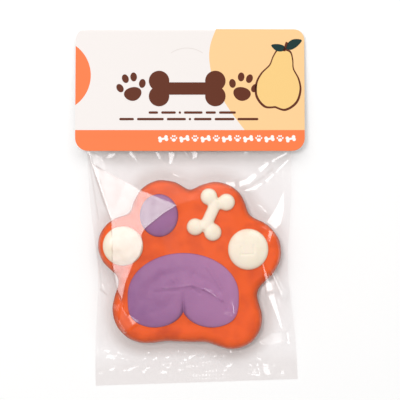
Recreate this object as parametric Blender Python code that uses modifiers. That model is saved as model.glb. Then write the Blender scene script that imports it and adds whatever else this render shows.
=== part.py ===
"""Paw-shaped dog biscuit, iced and piped, sealed in a clear film bag under a folded header card.

The pack lies on its back with the shown side up. +Z is up, +Y runs from the biscuit to the card's
fold, and the origin is the middle of the pack's footprint, on the floor. Sizes below are in
millimetres, and MM turns them into the metres of the model.
"""

import math

import bmesh
import bpy
from mathutils import Matrix, Vector

MM = 0.001

# Card: one sheet folded over the bag's mouth
CARD_WIDTH = 125.4
CARD_DEPTH = 66.9
CARD_THICKNESS = 0.4
CARD_GAP = 1.2
CARD_FOLD_CORNER = 5.8
CARD_OPEN_CORNER = 7.1
CARD_TRIM = 3.0
CARD_OUTLINE_HEIGHT = 20.0
CARD_FOLD_STEPS = 6
CARD_CORNER_STEPS = 8
MOUTH_Y = 31.0
MOUTH_HEIGHT = 6.5

# Bag: flat width, length below and inside the card, and how far it is turned in the card
BAG_HALF_WIDTH = 55.6
BAG_WAIST = 3.6
BAG_WAIST_Y = -66.0
BAG_WAIST_SPREAD = 30.0
BAG_LENGTH = 127.1
BAG_TONGUE = 57.0
BAG_SEAL = 11.0
BAG_MOUTH_X = -0.5
BAG_TURN = math.radians(1.9)
BAG_EDGE = 0.6
BAG_FLOOR = 0.5
BAG_RIM = 8.4
BAG_COLUMNS = 26
BAG_ROWS = 42
MOUTH_CLEARANCE = 2.0
# The back film stays on the floor this far past the paw, then lifts over the next stretch
BACK_FLAT = 1.5
BACK_LIFT = 6.0
# Height of the bag's folded side edges, as (distance along the bag from its mouth, height)
BAG_EDGE_HEIGHTS = [(-127.1, 0.4), (-116.1, 1.0), (-90.0, 3.2), (-50.0, 4.8), (0.0, 6.5)]

# Paw outline: seven circles melted into one curve, as (x, y, radius)
PAW_LOBES = [
    (-14.8, -1.1, 16.2),
    (14.0, -2.5, 16.6),
    (-34.6, -20.4, 15.7),
    (31.8, -24.1, 18.0),
    (-24.2, -56.0, 18.0),
    (23.4, -61.4, 16.0),
    (-0.4, -36.5, 37.0),
]
PAW_MELT = 3.0
PAW_MIDDLE = (-0.5, -33.0)
PAW_STEPS = 80
PAW_FARTHEST = 80.0
PAW_PRECISION = 0.001

# Icing coat, measured in from the paw outline and up from the floor
GAP = 0.3
COAT_THICKNESS = 1.3
COAT_LIP_Z = 1.4
COAT_WAIST_Z = 4.0
COAT_LIP_TUCK = 1.0
COAT_SHOULDER_RUN = 4.5
COAT_SHOULDER_RISE = 5.6
COAT_SIDE_STEPS = 3
COAT_SHOULDER_STEPS = 5
DOUGH_BASE_CHAMFER = 0.8
POCKET_CLEARANCE = 0.4

# Piped decorations, all standing on the coat
PIPED_BASE = COAT_WAIST_Z + COAT_SHOULDER_RISE + GAP
PIPED_STEPS = 7
PIPED_STEEPNESS = 0.6
PAD_MIDDLE = (-3.6, -47.5)
PAD_HALF_WIDTH = 30.5
PAD_TOP_REACH = 23.1
PAD_LOW_REACH = 18.5
PAD_LOW_SQUARENESS = 3.7
PAD_NOTCH = 9.1
PAD_NOTCH_SPREAD = math.radians(38)
PAD_NOTCH_POWER = 1.5
PAD_RISE = 2.7
PAD_SIDES = 72
# Creases and folds in the pad, as (start, end, height, width)
PAD_CREASES = [
    ((-3.6, -58.0), (-3.4, -46.0), -1.1, 1.8),
    ((-8.3, -44.8), (1.1, -43.1), 0.5, 1.8),
    ((1.1, -43.1), (8.3, -45.3), 0.5, 1.8),
    ((8.3, -45.3), (17.6, -50.8), 0.6, 1.8),
    ((8.3, -35.4), (16.5, -45.3), 0.4, 2.0),
]
TOE_SIDES = 32
TOE_RISE = 2.8
# Toe drops, as (name, middle, half width, half height, material)
TOES = [
    ("icing_toe_violet", (-16.8, -4.2), 10.5, 11.7, "violet_icing"),
    ("icing_toe_left", (-36.4, -20.8), 11.1, 10.8, "white_icing"),
    ("icing_toe_right", (31.7, -22.6), 11.1, 11.3, "white_icing"),
]
# Bone: four knobs as (x, y, radius), and the shaft between the two pairs
BONE_KNOBS = [(10.3, 6.0, 4.8), (19.8, 3.0, 4.9), (2.9, -10.4, 4.9), (12.4, -13.3, 5.0)]
BONE_SHAFT = ((15.0, 4.3), (7.7, -11.7))
BONE_SHAFT_RADIUS = 2.9
BONE_KNOB_RISE = 3.0
BONE_KNOB_WAIST = 0.4
BONE_SHAFT_RISE = 2.5
BONE_SHAFT_WAIST = 0.3
BONE_CUTTER = 60.0

# Colour, roughness and opacity of each material
MATERIALS = {
    "biscuit_dough": ("C99A5F", 0.85, 1.0),
    "orange_icing": ("F0602E", 0.45, 1.0),
    "violet_icing": ("A176A4", 0.5, 1.0),
    "white_icing": ("F7F0DF", 0.5, 1.0),
    "clear_film": ("F2F2F2", 0.1, 0.35),
    "coated_card": ("F6F2EE", 0.4, 1.0),
}


def linear(channel):
    """Turn one sRGB channel, 0 to 1, into linear light."""
    if channel <= 0.04045:
        return channel / 12.92
    return ((channel + 0.055) / 1.055) ** 2.4


def material(name):
    """Return the named material, made on its first use."""
    found = bpy.data.materials.get(name)
    if found:
        return found
    code, roughness, opacity = MATERIALS[name]
    red, green, blue = (linear(int(code[i:i + 2], 16) / 255) for i in (0, 2, 4))
    made = bpy.data.materials.new(name)
    made.use_nodes = True
    made.diffuse_color = (red, green, blue, opacity)
    principled = made.node_tree.nodes["Principled BSDF"]
    principled.inputs["Base Color"].default_value = (red, green, blue, 1.0)
    principled.inputs["Roughness"].default_value = roughness
    principled.inputs["Metallic"].default_value = 0.0
    principled.inputs["Alpha"].default_value = opacity
    return made


def add_object(name, bm, collection, material_name=None):
    """Put a bmesh, in millimetres, into a new smooth-shaded object in metres."""
    bmesh.ops.recalc_face_normals(bm, faces=bm.faces)
    bmesh.ops.scale(bm, vec=(MM, MM, MM), verts=bm.verts)
    mesh = bpy.data.meshes.new(name)
    bm.to_mesh(mesh)
    bm.free()
    mesh.shade_smooth()
    mesh.set_sharp_from_angle(angle=math.radians(40))
    if material_name:
        mesh.materials.append(material(material_name))
    thing = bpy.data.objects.new(name, mesh)
    collection.objects.link(thing)
    return thing


def add_cutter(name, bm, collection):
    """Put a bmesh into an object that only cuts others."""
    cutter = add_object(name, bm, collection)
    cutter.hide_render = True
    cutter.display_type = "WIRE"
    return cutter


def boolean(thing, operation, other):
    """Join, cut or intersect one object with another."""
    modifier = thing.modifiers.new(operation.title(), "BOOLEAN")
    modifier.operation = operation
    modifier.object = other
    modifier.solver = "EXACT"


def loft(rings, cap_first, cap_last):
    """Skin a list of rings with equal point counts, and close either end with a fan."""
    bm = bmesh.new()
    skins = [[bm.verts.new(point) for point in ring] for ring in rings]
    count = len(skins[0])
    for lower, upper in zip(skins, skins[1:]):
        for i in range(count):
            j = (i + 1) % count
            bm.faces.new((lower[i], lower[j], upper[j], upper[i]))
    for wanted, ring in ((cap_first, skins[0]), (cap_last, skins[-1])):
        if wanted:
            middle = bm.verts.new(sum((v.co for v in ring), Vector()) / count)
            for i in range(count):
                bm.faces.new((ring[i], ring[(i + 1) % count], middle))
    return bm


def interpolate(value, stations):
    """Read a height from (position, height) stations joined by straight lines."""
    for (low, first), (high, second) in zip(stations, stations[1:]):
        if value <= high:
            share = max(0.0, (value - low) / (high - low))
            return first + (second - first) * share
    return stations[-1][1]


def segment_distance(x, y, start, end):
    """Distance in plan from a point to the straight line between two others."""
    along_x, along_y = end[0] - start[0], end[1] - start[1]
    share = ((x - start[0]) * along_x + (y - start[1]) * along_y) / (along_x ** 2 + along_y ** 2)
    share = min(1.0, max(0.0, share))
    return math.hypot(x - start[0] - share * along_x, y - start[1] - share * along_y)


def paw_distance(x, y):
    """Distance in plan from the paw outline, negative inside it."""
    total = sum(math.exp((r - math.hypot(x - a, y - b)) / PAW_MELT) for a, b, r in PAW_LOBES)
    return -PAW_MELT * math.log(total)


def paw_ring(inset, z):
    """Ring of points at one distance inside the paw outline, found along rays from its middle."""
    ring = []
    for i in range(PAW_STEPS):
        angle = 2 * math.pi * i / PAW_STEPS
        across, along = math.cos(angle), math.sin(angle)
        near, far = 0.0, PAW_FARTHEST
        while far - near > PAW_PRECISION:
            reach = (near + far) / 2
            if paw_distance(PAW_MIDDLE[0] + reach * across, PAW_MIDDLE[1] + reach * along) < -inset:
                near = reach
            else:
                far = reach
        ring.append((PAW_MIDDLE[0] + near * across, PAW_MIDDLE[1] + near * along, z))
    return ring


def coat_profile(depth):
    """(inset, z) pairs of a surface at one depth under the coat's own, from its lip to its top."""
    profile = []
    for i in range(COAT_SIDE_STEPS):
        down = 1 - i / COAT_SIDE_STEPS
        z = COAT_WAIST_Z - (COAT_WAIST_Z - COAT_LIP_Z) * down
        profile.append((depth + COAT_LIP_TUCK * down ** 2, z))
    for i in range(COAT_SHOULDER_STEPS + 1):
        turn = math.pi / 2 * i / COAT_SHOULDER_STEPS
        inset = COAT_SHOULDER_RUN - (COAT_SHOULDER_RUN - depth) * math.cos(turn)
        z = COAT_WAIST_Z + (COAT_SHOULDER_RISE - depth) * math.sin(turn)
        profile.append((inset, z))
    return profile


def build_dough(parts):
    """Baked biscuit under the coat, bare on its underside."""
    depth = COAT_THICKNESS + GAP
    profile = coat_profile(depth)
    base = BAG_FLOOR + GAP
    profile.insert(0, (profile[0][0] + DOUGH_BASE_CHAMFER, base))
    rings = [paw_ring(inset, z) for inset, z in profile]
    add_object("biscuit_dough", loft(rings, True, True), parts, "biscuit_dough")


def build_coat(parts):
    """Orange icing over the biscuit's top and sides: an open skin thickened inward."""
    rings = [paw_ring(inset, z) for inset, z in coat_profile(0.0)]
    coat = add_object("icing_orange", loft(rings, False, True), parts, "orange_icing")
    shell = coat.modifiers.new("Thickness", "SOLIDIFY")
    shell.thickness = COAT_THICKNESS * MM
    shell.offset = -1.0
    shell.use_even_offset = True


def pad_reach(angle):
    """Distance from the pad's middle to its rim: round above, squarer and notched below."""
    across, along = math.cos(angle), math.sin(angle)
    if along >= 0:
        return 1 / math.hypot(across / PAD_HALF_WIDTH, along / PAD_TOP_REACH)
    power = PAD_LOW_SQUARENESS
    reach = (abs(across / PAD_HALF_WIDTH) ** power + abs(along / PAD_LOW_REACH) ** power) ** (-1 / power)
    from_below = abs(math.atan2(across, -along))
    notch = PAD_NOTCH * (1 - (from_below / PAD_NOTCH_SPREAD) ** PAD_NOTCH_POWER)
    return reach - max(0.0, notch)


def pad_relief(x, y):
    """Height that the pad's creases and folds add at one place."""
    total = 0.0
    for start, end, height, width in PAD_CREASES:
        total += height * math.exp(-(segment_distance(x, y, start, end) / width) ** 2)
    return total


def dome(middle, reach, rise, sides, relief=None):
    """Piped drop: steep at its rim, broad on top, flat underneath."""
    rings = []
    for level in range(PIPED_STEPS):
        turn = math.pi / 2 * level / PIPED_STEPS
        share = math.cos(turn) ** PIPED_STEEPNESS
        ring = []
        for i in range(sides):
            angle = 2 * math.pi * i / sides
            x = middle[0] + share * reach(angle) * math.cos(angle)
            y = middle[1] + share * reach(angle) * math.sin(angle)
            z = PIPED_BASE + rise * math.sin(turn)
            if relief and level:
                z += relief(x, y) * math.sin(turn)
            ring.append((x, y, z))
        rings.append(ring)
    return loft(rings, True, True)


def build_pad(parts):
    """Large violet pad, notched below, with a crease up its middle."""
    bm = dome(PAD_MIDDLE, pad_reach, PAD_RISE, PAD_SIDES, pad_relief)
    add_object("icing_pad", bm, parts, "violet_icing")


def build_toes(parts):
    """One oval drop for each toe."""
    for name, middle, half_width, half_height, finish in TOES:
        def reach(angle, a=half_width, b=half_height):
            return 1 / math.hypot(math.cos(angle) / a, math.sin(angle) / b)

        add_object(name, dome(middle, reach, TOE_RISE, TOE_SIDES), parts, finish)


def bone_knob(x, y, radius):
    """Squashed ball, widest a little above the coat."""
    bm = bmesh.new()
    bmesh.ops.create_uvsphere(bm, u_segments=20, v_segments=12, radius=radius)
    flatness = (BONE_KNOB_RISE - BONE_KNOB_WAIST) / radius
    bmesh.ops.scale(bm, vec=(1, 1, flatness), verts=bm.verts)
    bmesh.ops.translate(bm, vec=(x, y, PIPED_BASE + BONE_KNOB_WAIST), verts=bm.verts)
    return bm


def build_bone(parts, cutters):
    """White bone: a shaft joined to four knobs, cut flat underneath."""
    (x0, y0), (x1, y1) = BONE_SHAFT
    length = math.hypot(x1 - x0, y1 - y0)
    bm = bmesh.new()
    bmesh.ops.create_cone(bm, cap_ends=True, segments=20, radius1=BONE_SHAFT_RADIUS,
                          radius2=BONE_SHAFT_RADIUS, depth=length)
    bmesh.ops.rotate(bm, matrix=Matrix.Rotation(math.pi / 2, 3, "Y"), verts=bm.verts)
    flatness = (BONE_SHAFT_RISE - BONE_SHAFT_WAIST) / BONE_SHAFT_RADIUS
    bmesh.ops.scale(bm, vec=(1, 1, flatness), verts=bm.verts)
    bmesh.ops.rotate(bm, matrix=Matrix.Rotation(math.atan2(y1 - y0, x1 - x0), 3, "Z"), verts=bm.verts)
    middle = ((x0 + x1) / 2, (y0 + y1) / 2)
    bmesh.ops.translate(bm, vec=(*middle, PIPED_BASE + BONE_SHAFT_WAIST), verts=bm.verts)
    bone = add_object("icing_bone", bm, parts, "white_icing")

    for i, knob in enumerate(BONE_KNOBS):
        boolean(bone, "UNION", add_cutter(f"bone_knob_{i}", bone_knob(*knob), cutters))

    below = bmesh.new()
    bmesh.ops.create_cube(below, size=BONE_CUTTER)
    bmesh.ops.translate(below, vec=(*middle, PIPED_BASE - BONE_CUTTER / 2), verts=below.verts)
    boolean(bone, "DIFFERENCE", add_cutter("bone_underside", below, cutters))


def card_middle(y):
    """Height of the middle of the folded card, which leans down to rest on its fold."""
    fold_height = CARD_GAP / 2 + CARD_THICKNESS
    return MOUTH_HEIGHT + (fold_height - MOUTH_HEIGHT) * (y - MOUTH_Y) / CARD_DEPTH


def bag_half_width(along):
    """Half the bag's width at one distance from its mouth, drawn in where it spans the toes."""
    return BAG_HALF_WIDTH - BAG_WAIST * math.exp(-((along - BAG_WAIST_Y) / BAG_WAIST_SPREAD) ** 2)


def bag_place(across, along):
    """Turn a place on the flat bag into one on the floor."""
    x = BAG_MOUTH_X + across * math.cos(BAG_TURN) - along * math.sin(BAG_TURN)
    y = MOUTH_Y + across * math.sin(BAG_TURN) + along * math.cos(BAG_TURN)
    return x, y


def film_height(across, along, front):
    """Height of the front or back film, straight from the biscuit's edge to the bag's."""
    x, y = bag_place(across, along)
    edge = card_middle(y) if y > MOUTH_Y else interpolate(along, BAG_EDGE_HEIGHTS)
    to_side = bag_half_width(along) - abs(across)
    to_seal = along + BAG_LENGTH - BAG_SEAL
    to_mouth = MOUTH_Y - MOUTH_CLEARANCE - y
    to_edge = max(0.0, min(to_side, to_seal, to_mouth))
    to_paw = max(0.0, paw_distance(x, y))
    share = to_edge / (to_edge + to_paw) if to_edge else 0.0
    if front:
        edge += BAG_EDGE / 2
        return edge + (BAG_RIM - edge) * share
    lifted = min(1.0, max(0.0, (to_paw - BACK_FLAT) / BACK_LIFT))
    return (edge - BAG_EDGE / 2) * (1 - share) * lifted


def build_bag(parts, cutters):
    """Sealed bag as one solid round the biscuit, with a pocket that the biscuit lies in."""
    bm = bmesh.new()
    bmesh.ops.create_grid(bm, x_segments=BAG_COLUMNS, y_segments=BAG_ROWS, size=1.0)
    front = list(bm.verts)
    extruded = bmesh.ops.extrude_face_region(bm, geom=bm.faces[:])
    back = [item for item in extruded["geom"] if isinstance(item, bmesh.types.BMVert)]
    for film, is_front in ((front, True), (back, False)):
        for vertex in film:
            along = BAG_TONGUE - (BAG_TONGUE + BAG_LENGTH) * (1 - vertex.co.y) / 2
            across = vertex.co.x * bag_half_width(along)
            vertex.co = (*bag_place(across, along), film_height(across, along, is_front))
    bag = add_object("film_bag", bm, parts, "clear_film")

    walls = [paw_ring(-POCKET_CLEARANCE, z) for z in (BAG_FLOOR, 2 * BAG_RIM)]
    boolean(bag, "DIFFERENCE", add_cutter("biscuit_pocket", loft(walls, True, True), cutters))


def card_outline():
    """Plate in the card's outline, with smaller corners at the fold than at the open end."""
    top = CARD_DEPTH + CARD_GAP / 4
    bm = bmesh.new()
    bmesh.ops.create_cube(bm, size=1.0)
    bmesh.ops.scale(bm, vec=(CARD_WIDTH, top, CARD_OUTLINE_HEIGHT), verts=bm.verts)
    bmesh.ops.translate(bm, vec=(0, top / 2, 0), verts=bm.verts)
    upright = [e for e in bm.edges if abs(e.verts[0].co.z - e.verts[1].co.z) > 1]
    for at_fold, radius in ((True, CARD_FOLD_CORNER), (False, CARD_OPEN_CORNER)):
        edges = [e for e in upright if e.is_valid and (e.verts[0].co.y > top / 2) == at_fold]
        bmesh.ops.bevel(bm, geom=edges, offset=radius, segments=CARD_CORNER_STEPS, profile=0.5,
                        affect="EDGES")
    return bm


def build_card(parts, cutters):
    """Folded header card: a bent sheet thickened both ways, then cut to its outline."""
    radius = (CARD_GAP + CARD_THICKNESS) / 2
    fold_y = CARD_DEPTH - radius - CARD_THICKNESS / 2
    profile = [(-CARD_TRIM, radius)]
    for i in range(CARD_FOLD_STEPS + 1):
        turn = math.pi * i / CARD_FOLD_STEPS
        profile.append((fold_y + radius * math.sin(turn), radius * math.cos(turn)))
    profile.append((-CARD_TRIM, -radius))

    bm = bmesh.new()
    side = CARD_WIDTH / 2 + CARD_TRIM
    line = [bm.verts.new((-side, y, z)) for y, z in profile]
    edges = [bm.edges.new(pair) for pair in zip(line, line[1:])]
    swept = bmesh.ops.extrude_edge_only(bm, edges=edges)
    moved = [item for item in swept["geom"] if isinstance(item, bmesh.types.BMVert)]
    bmesh.ops.translate(bm, vec=(2 * side, 0, 0), verts=moved)
    card = add_object("header_card", bm, parts, "coated_card")
    thickness = card.modifiers.new("Thickness", "SOLIDIFY")
    thickness.thickness = CARD_THICKNESS * MM
    thickness.offset = 0.0
    thickness.use_even_offset = True

    outline = add_cutter("card_outline", card_outline(), cutters)
    boolean(card, "INTERSECT", outline)
    lean = math.atan2(card_middle(MOUTH_Y + CARD_DEPTH) - MOUTH_HEIGHT, CARD_DEPTH)
    for thing in (card, outline):
        thing.location = (0, MOUTH_Y * MM, MOUTH_HEIGHT * MM)
        thing.rotation_euler = (lean, 0, 0)


def build():
    """Build the pack in an empty scene."""
    for thing in list(bpy.data.objects):
        bpy.data.objects.remove(thing, do_unlink=True)
    parts = bpy.data.collections.new("dog_biscuit_pack")
    cutters = bpy.data.collections.new("cutters")
    bpy.context.scene.collection.children.link(parts)
    bpy.context.scene.collection.children.link(cutters)
    build_dough(parts)
    build_coat(parts)
    build_pad(parts)
    build_toes(parts)
    build_bone(parts, cutters)
    build_bag(parts, cutters)
    build_card(parts, cutters)


build()
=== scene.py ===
"""Looks of a packed paw-shaped dog biscuit: iced biscuit, clear film bag and printed header card.

Sizes are in millimetres unless a name says otherwise, and MM turns them into metres.
"""

import math
import random

import bpy
import bmesh
import numpy as np
from mathutils import Matrix, Vector, noise
from mathutils.bvhtree import BVHTree
from mathutils.geometry import delaunay_2d_cdt


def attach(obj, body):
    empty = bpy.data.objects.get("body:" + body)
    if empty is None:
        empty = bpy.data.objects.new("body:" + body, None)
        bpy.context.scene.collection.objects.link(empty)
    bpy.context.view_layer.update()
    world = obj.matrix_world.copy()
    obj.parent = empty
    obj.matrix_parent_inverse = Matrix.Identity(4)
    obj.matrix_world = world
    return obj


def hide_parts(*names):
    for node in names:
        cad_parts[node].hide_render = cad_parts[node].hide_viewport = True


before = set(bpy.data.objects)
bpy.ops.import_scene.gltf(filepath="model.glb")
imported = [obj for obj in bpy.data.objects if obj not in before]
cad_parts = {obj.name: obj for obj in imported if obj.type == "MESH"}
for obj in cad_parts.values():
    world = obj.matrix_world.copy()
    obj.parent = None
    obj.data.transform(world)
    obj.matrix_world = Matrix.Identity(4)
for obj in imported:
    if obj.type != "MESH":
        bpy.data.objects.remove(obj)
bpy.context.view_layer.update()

MM = 0.001

# Camera straight above, framing 220 mm of the table
VIEW_WIDTH = 220.0
VIEW_MIDDLE = (5.5, 4.2)
CAMERA_HEIGHT = 900.0
SENSOR_WIDTH = 36.0

# Soft boxes: places as (azimuth, angle off the zenith, distance in metres), sizes in metres
KEY_PLACE = (148, 19.5, 2.2)
KEY_SIZE = (0.62, 0.62)
KEY_POWER = 15
BACK_PLACE = (90, 43, 2.2)
BACK_SIZE = (3.2, 1.2)
BACK_POWER = 21
ROOM_LIGHT = 0.5

# Table
FLOOR_SIZE = 4.0
FLOOR_DROP = 0.1

# Card, as in the solid
CARD_WIDTH = 125.4
CARD_DEPTH = 66.9
CARD_THICKNESS = 0.4
CARD_GAP = 1.2
CARD_FOLD_CORNER = 5.8
CARD_OPEN_CORNER = 7.1
CARD_HALF_THICKNESS = CARD_GAP / 2 + CARD_THICKNESS
MOUTH_Y = 31.0
MOUTH_HEIGHT = 6.5

# Bag, as in the solid
BAG_HALF_WIDTH = 55.6
BAG_WAIST = 3.6
BAG_WAIST_Y = -66.0
BAG_WAIST_SPREAD = 30.0
BAG_LENGTH = 127.1
BAG_TONGUE = 57.0
BAG_SEAL = 11.0
BAG_MOUTH_X = -0.5
BAG_TURN = math.radians(1.9)
BAG_EDGE_HEIGHTS = [(-127.1, 0.4), (-116.1, 1.0), (-90.0, 3.2), (-50.0, 4.8), (0.0, 6.5)]

# Paw outline: seven circles melted into one curve, as (x, y, radius)
PAW_LOBES = [
    (-14.8, -1.1, 16.2),
    (14.0, -2.5, 16.6),
    (-34.6, -20.4, 15.7),
    (31.8, -24.1, 18.0),
    (-24.2, -56.0, 18.0),
    (23.4, -61.4, 16.0),
    (-0.4, -36.5, 37.0),
]
PAW_MELT = 3.0
PAW_MIDDLE = (-0.5, -33.0)
PAW_SIDES = 288
PAW_ANGLES = np.arange(PAW_SIDES) * 2 * math.pi / PAW_SIDES
PAW_REACH = 80.0
PAW_HALVINGS = 24

# Icing coat; its top stands a little above the solid's, so that the piped icing sits in it
COAT_LIP_Z = 1.4
COAT_WAIST_Z = 4.0
COAT_LIP_TUCK = 1.0
COAT_SHOULDER_RUN = 3.3
COAT_FOOT_WIDENING = 0.9
COAT_LEFT_WIDENING = 0.4
COAT_TOP_Z = 9.95
COAT_SIDE_STEPS = 8
COAT_SHOULDER_STEPS = 14
COAT_TOP_STEPS = 40
COAT_UNDERSIDE = 1.2
COAT_UNDERSIDE_RISE = 0.1
COAT_BULGE = 0.35
COAT_BULGE_SIZE = 5.0

# Unevenness of the icing's tops, as (height, size, seed)
COAT_LUMPS = [(0.2, 9.0, 0.0), (0.06, 3.0, 5.0)]
PAD_LUMPS = [(0.12, 5.0, 3.0), (0.05, 1.6, 7.0)]
TOE_LUMPS = [(0.1, 6.0, 2.0), (0.03, 2.0, 4.0)]

# Where icing changes colour: heights where the coat darkens towards its lip, partly thin icing over the dough
# and partly painted shade;
# places across the pack where the violet turns paler; and how level its skin lies, for painted shade on the
# steep sides of piped icing
THIN_SHADED_ICING_Z = 4.5
FULL_ICING_Z = 9.3
PALE_START_X = -26.0
PALE_END_X = 20.0
STEEP_SIDE = 0.3
LEVEL_TOP = 0.9

# Piped icing: its foot in the coat, how steeply it rises, and its rings
PIPED_BASE = 9.7
PIPED_STEEPNESS = 0.7
PIPED_TUCK = 0.03
PIPED_STEPS = 60
PIPED_STEP_POWER = 1.5

# Violet pad
PAD_MIDDLE = (-3.6, -47.5)
PAD_HALF_WIDTH = 30.5
PAD_TOP_REACH = 23.1
PAD_LOW_REACH = 18.5
PAD_LOW_SQUARENESS = 3.7
PAD_NOTCH = 9.1
PAD_NOTCH_SPREAD = math.radians(48)
PAD_NOTCH_POWER = 1.7
PAD_TOP_Z = 12.6
PAD_SIDES = 320

# Toe drops
TOE_TOP_Z = 12.7
TOE_SIDES = 120
TOE_MARK_DEPTH = 0.22
TOE_MARK_WIDTH = 0.55
# As (solid, piece, middle, half width, half height, slot)
TOES = [
    ("icing_toe_violet", "violet_icing_toe", (-16.8, -4.2), 10.5, 11.7, "violet_icing"),
    ("icing_toe_left", "white_icing_left_toe", (-36.4, -20.8), 11.1, 10.8, "white_icing"),
    ("icing_toe_right", "white_icing_right_toe", (31.7, -22.6), 11.1, 11.3, "white_icing"),
]
# Dents in the right-hand toe drop, as (start, end)
TOE_MARKS = [((27.8, -21.5), (28.2, -25.5)), ((28.2, -25.5), (34.5, -25.2)), ((34.5, -20.5), (35.0, -23.8))]

# White bone: knobs as (x, y, radius), and its shaft's two ends
BONE_KNOBS = [(10.3, 6.0, 4.8), (19.8, 3.0, 4.9), (2.9, -10.4, 4.9), (12.4, -13.3, 5.0)]
BONE_SHAFT = ((15.0, 4.3), (7.7, -11.7))
BONE_SHAFT_RADIUS = 3.4
BONE_TOP_Z = 12.9
BONE_SHAFT_TOP_Z = 12.4
BONE_WAIST_Z = 10.3
BONE_SIDES = 40
BONE_KNOB_RINGS = 24
BONE_VOXEL = 0.35
BONE_SOFTNESS = 0.8
BONE_SOFTENINGS = 24

# Film
FILM_CLEARANCE = 0.2
PAD_ROPE_CLEARANCE = 0.3
FILM_STEP = 0.42
FILM_BACK_STEP = 1.6
FILM_CREASE_BLUR = 0.3
FILM_EDGE_ROUNDING = 1.5
FILM_SHARP_ANGLE = 25
FILM_BACK_REST_Z = 0.15
FILM_BACK_TONGUE = -2.0
FILM_BACK_BLUR = 1.2
FILM_MIRROR = 0.040
FILM_IN_CARD = 0.15

# Folds that catch the light: the longest flat piece, the gaps between pieces and inside a patch's edge, how
# far a streak's rise gives way to the film's own, where the film meets it, and its lift off the contents
STREAK_PIECE = 16.0
STREAK_GAP = 0.3
STREAK_LEEWAY = 0.025
PATCH_GAP = 0.3
FOLD_FOOT = 1.0
FOLD_LIFT = 0.1

# Wrinkles of the film: the seal's ribs and embossed grid, the mouth's pleats and the fine crumpling
SEAL_START = BAG_SEAL - BAG_LENGTH
SEAL_FADE = 2.0
SEAL_RIB_PITCH = 2.3
SEAL_RIB_HEIGHT = 0.12
SEAL_RIB_PATCH = 14.0
SEAL_RIB_SHARE = 0.45
EMBOSSED_SHARE = 0.06
EMBOSSED_REACH = 0.22
EMBOSSED_FADE = 1.6
EMBOSSED_PITCH = 1.8
EMBOSSED_HEIGHT = 0.055
PLEAT_ALONG = -3.0
PLEAT_REACH = 9.0
PLEAT_HEIGHT = 0.08
PLEAT_SIZE = 4.5
PLEAT_STRETCH = 0.25
CRUMPLE_SIZE = 4.0
CRUMPLE_HEIGHT = 0.03
SEAL_CRUMPLE_HEIGHT = 0.06
TOE_CRUMPLE_HEIGHT = 0.05

# Haze and painted shade of the film, as shares: painted shade beside the biscuit, a painted shadow of the
# card over the gathered film under its edge, and haze in the seal
BESIDE_SHADE_REACH = 6.0
SIDE_CLEAR = 12.0
BESIDE_PAINTED_SHADE = 0.45
MOUTH_HAZE_AND_SHADOW = 0.5
MOUTH_HAZE_SHADOW_REACH = 9.0
MOUTH_HAZE_SHADOW_FULL = 1.15
MOUTH_HAZE_SHADOW_SPREAD = 60
SEAL_HAZE = 0.15
SEAL_HAZE_START = SEAL_START + 6.0
SEAL_HAZE_REACH = 8.0


def linear(code):
    """Turn an sRGB hex code into linear red, green and blue."""
    channels = (int(code[i:i + 2], 16) / 255 for i in (0, 2, 4))
    return tuple(c / 12.92 if c <= 0.04045 else ((c + 0.055) / 1.055) ** 2.4 for c in channels)


def colour(code):
    """Turn an sRGB hex code into a linear colour with alpha."""
    return (*linear(code), 1.0)


def node(tree, kind, settings=(), links=()):
    """Add one shader node: settings are its properties and inputs, links feed its inputs."""
    made = tree.nodes.new(kind)
    for name, value in dict(settings).items():
        if isinstance(name, int) or name in made.inputs:
            made.inputs[name].default_value = value
        else:
            setattr(made, name, value)
    for name, source in dict(links).items():
        tree.links.new(source, made.inputs[name])
    return made


def blank_material(name):
    """New material with an empty node tree, and its output node."""
    material = bpy.data.materials.new(name)
    material.use_nodes = True
    tree = material.node_tree
    tree.nodes.clear()
    return material, tree, tree.nodes.new("ShaderNodeOutputMaterial")


def add_piece(name, mesh, material):
    """Visible piece of one material, riding on the root body."""
    piece = bpy.data.objects.new(name, mesh)
    bpy.context.scene.collection.objects.link(piece)
    mesh.materials.append(material)
    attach(piece, "root")
    return piece


def smooth_mesh(name, points, faces, material, sharp_angle=60):
    """Piece made of points in millimetres, shaded smooth."""
    mesh = bpy.data.meshes.new(name)
    mesh.from_pydata([tuple(c * MM for c in p) for p in points], [], faces)
    mesh.update()
    bm = bmesh.new()
    bm.from_mesh(mesh)
    bmesh.ops.recalc_face_normals(bm, faces=bm.faces)
    bm.to_mesh(mesh)
    bm.free()
    mesh.shade_smooth()
    mesh.set_sharp_from_angle(angle=math.radians(sharp_angle))
    return add_piece(name, mesh, material)


def ring_faces(levels, count, first_cap, last_cap):
    """Faces that skin a stack of rings, with a fan to a middle point at each capped end."""
    faces = []
    for level in range(levels - 1):
        for i in range(count):
            j = (i + 1) % count
            low, high = level * count, (level + 1) * count
            faces.append((low + i, low + j, high + j, high + i))
    middle = levels * count
    for wanted, start in ((first_cap, 0), (last_cap, (levels - 1) * count)):
        if wanted:
            faces += [(start + i, start + (i + 1) % count, middle) for i in range(count)]
            middle += 1
    return faces


def ring_points(rings, first_cap, last_cap):
    """Points of a stack of rings, then the middle point of each capped end."""
    points = [tuple(p) for ring in rings for p in ring]
    for wanted, ring in ((first_cap, rings[0]), (last_cap, rings[-1])):
        if wanted:
            points.append(tuple(np.mean(np.array(ring), axis=0)))
    return points


def grid_faces(rows, columns):
    """Faces of a grid of points stored row by row."""
    faces = []
    for r in range(rows - 1):
        for c in range(columns - 1):
            at = r * columns + c
            faces.append((at, at + 1, at + columns + 1, at + columns))
    return faces


def lumps(x, y, size, seed):
    """Smooth noise between about -1 and 1 whose lumps are so many millimetres across."""
    return noise.noise(Vector((x / size, y / size, seed)))


def unevenness(x, y, table):
    """Height that a table of lumps adds at one place."""
    return sum(height * lumps(x, y, size, seed) for height, size, seed in table)


def ridge(height, away, width):
    """Height of a rounded ridge, or a groove if negative, at some distance from its line."""
    return height * math.exp(-(away / width) ** 2)


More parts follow.
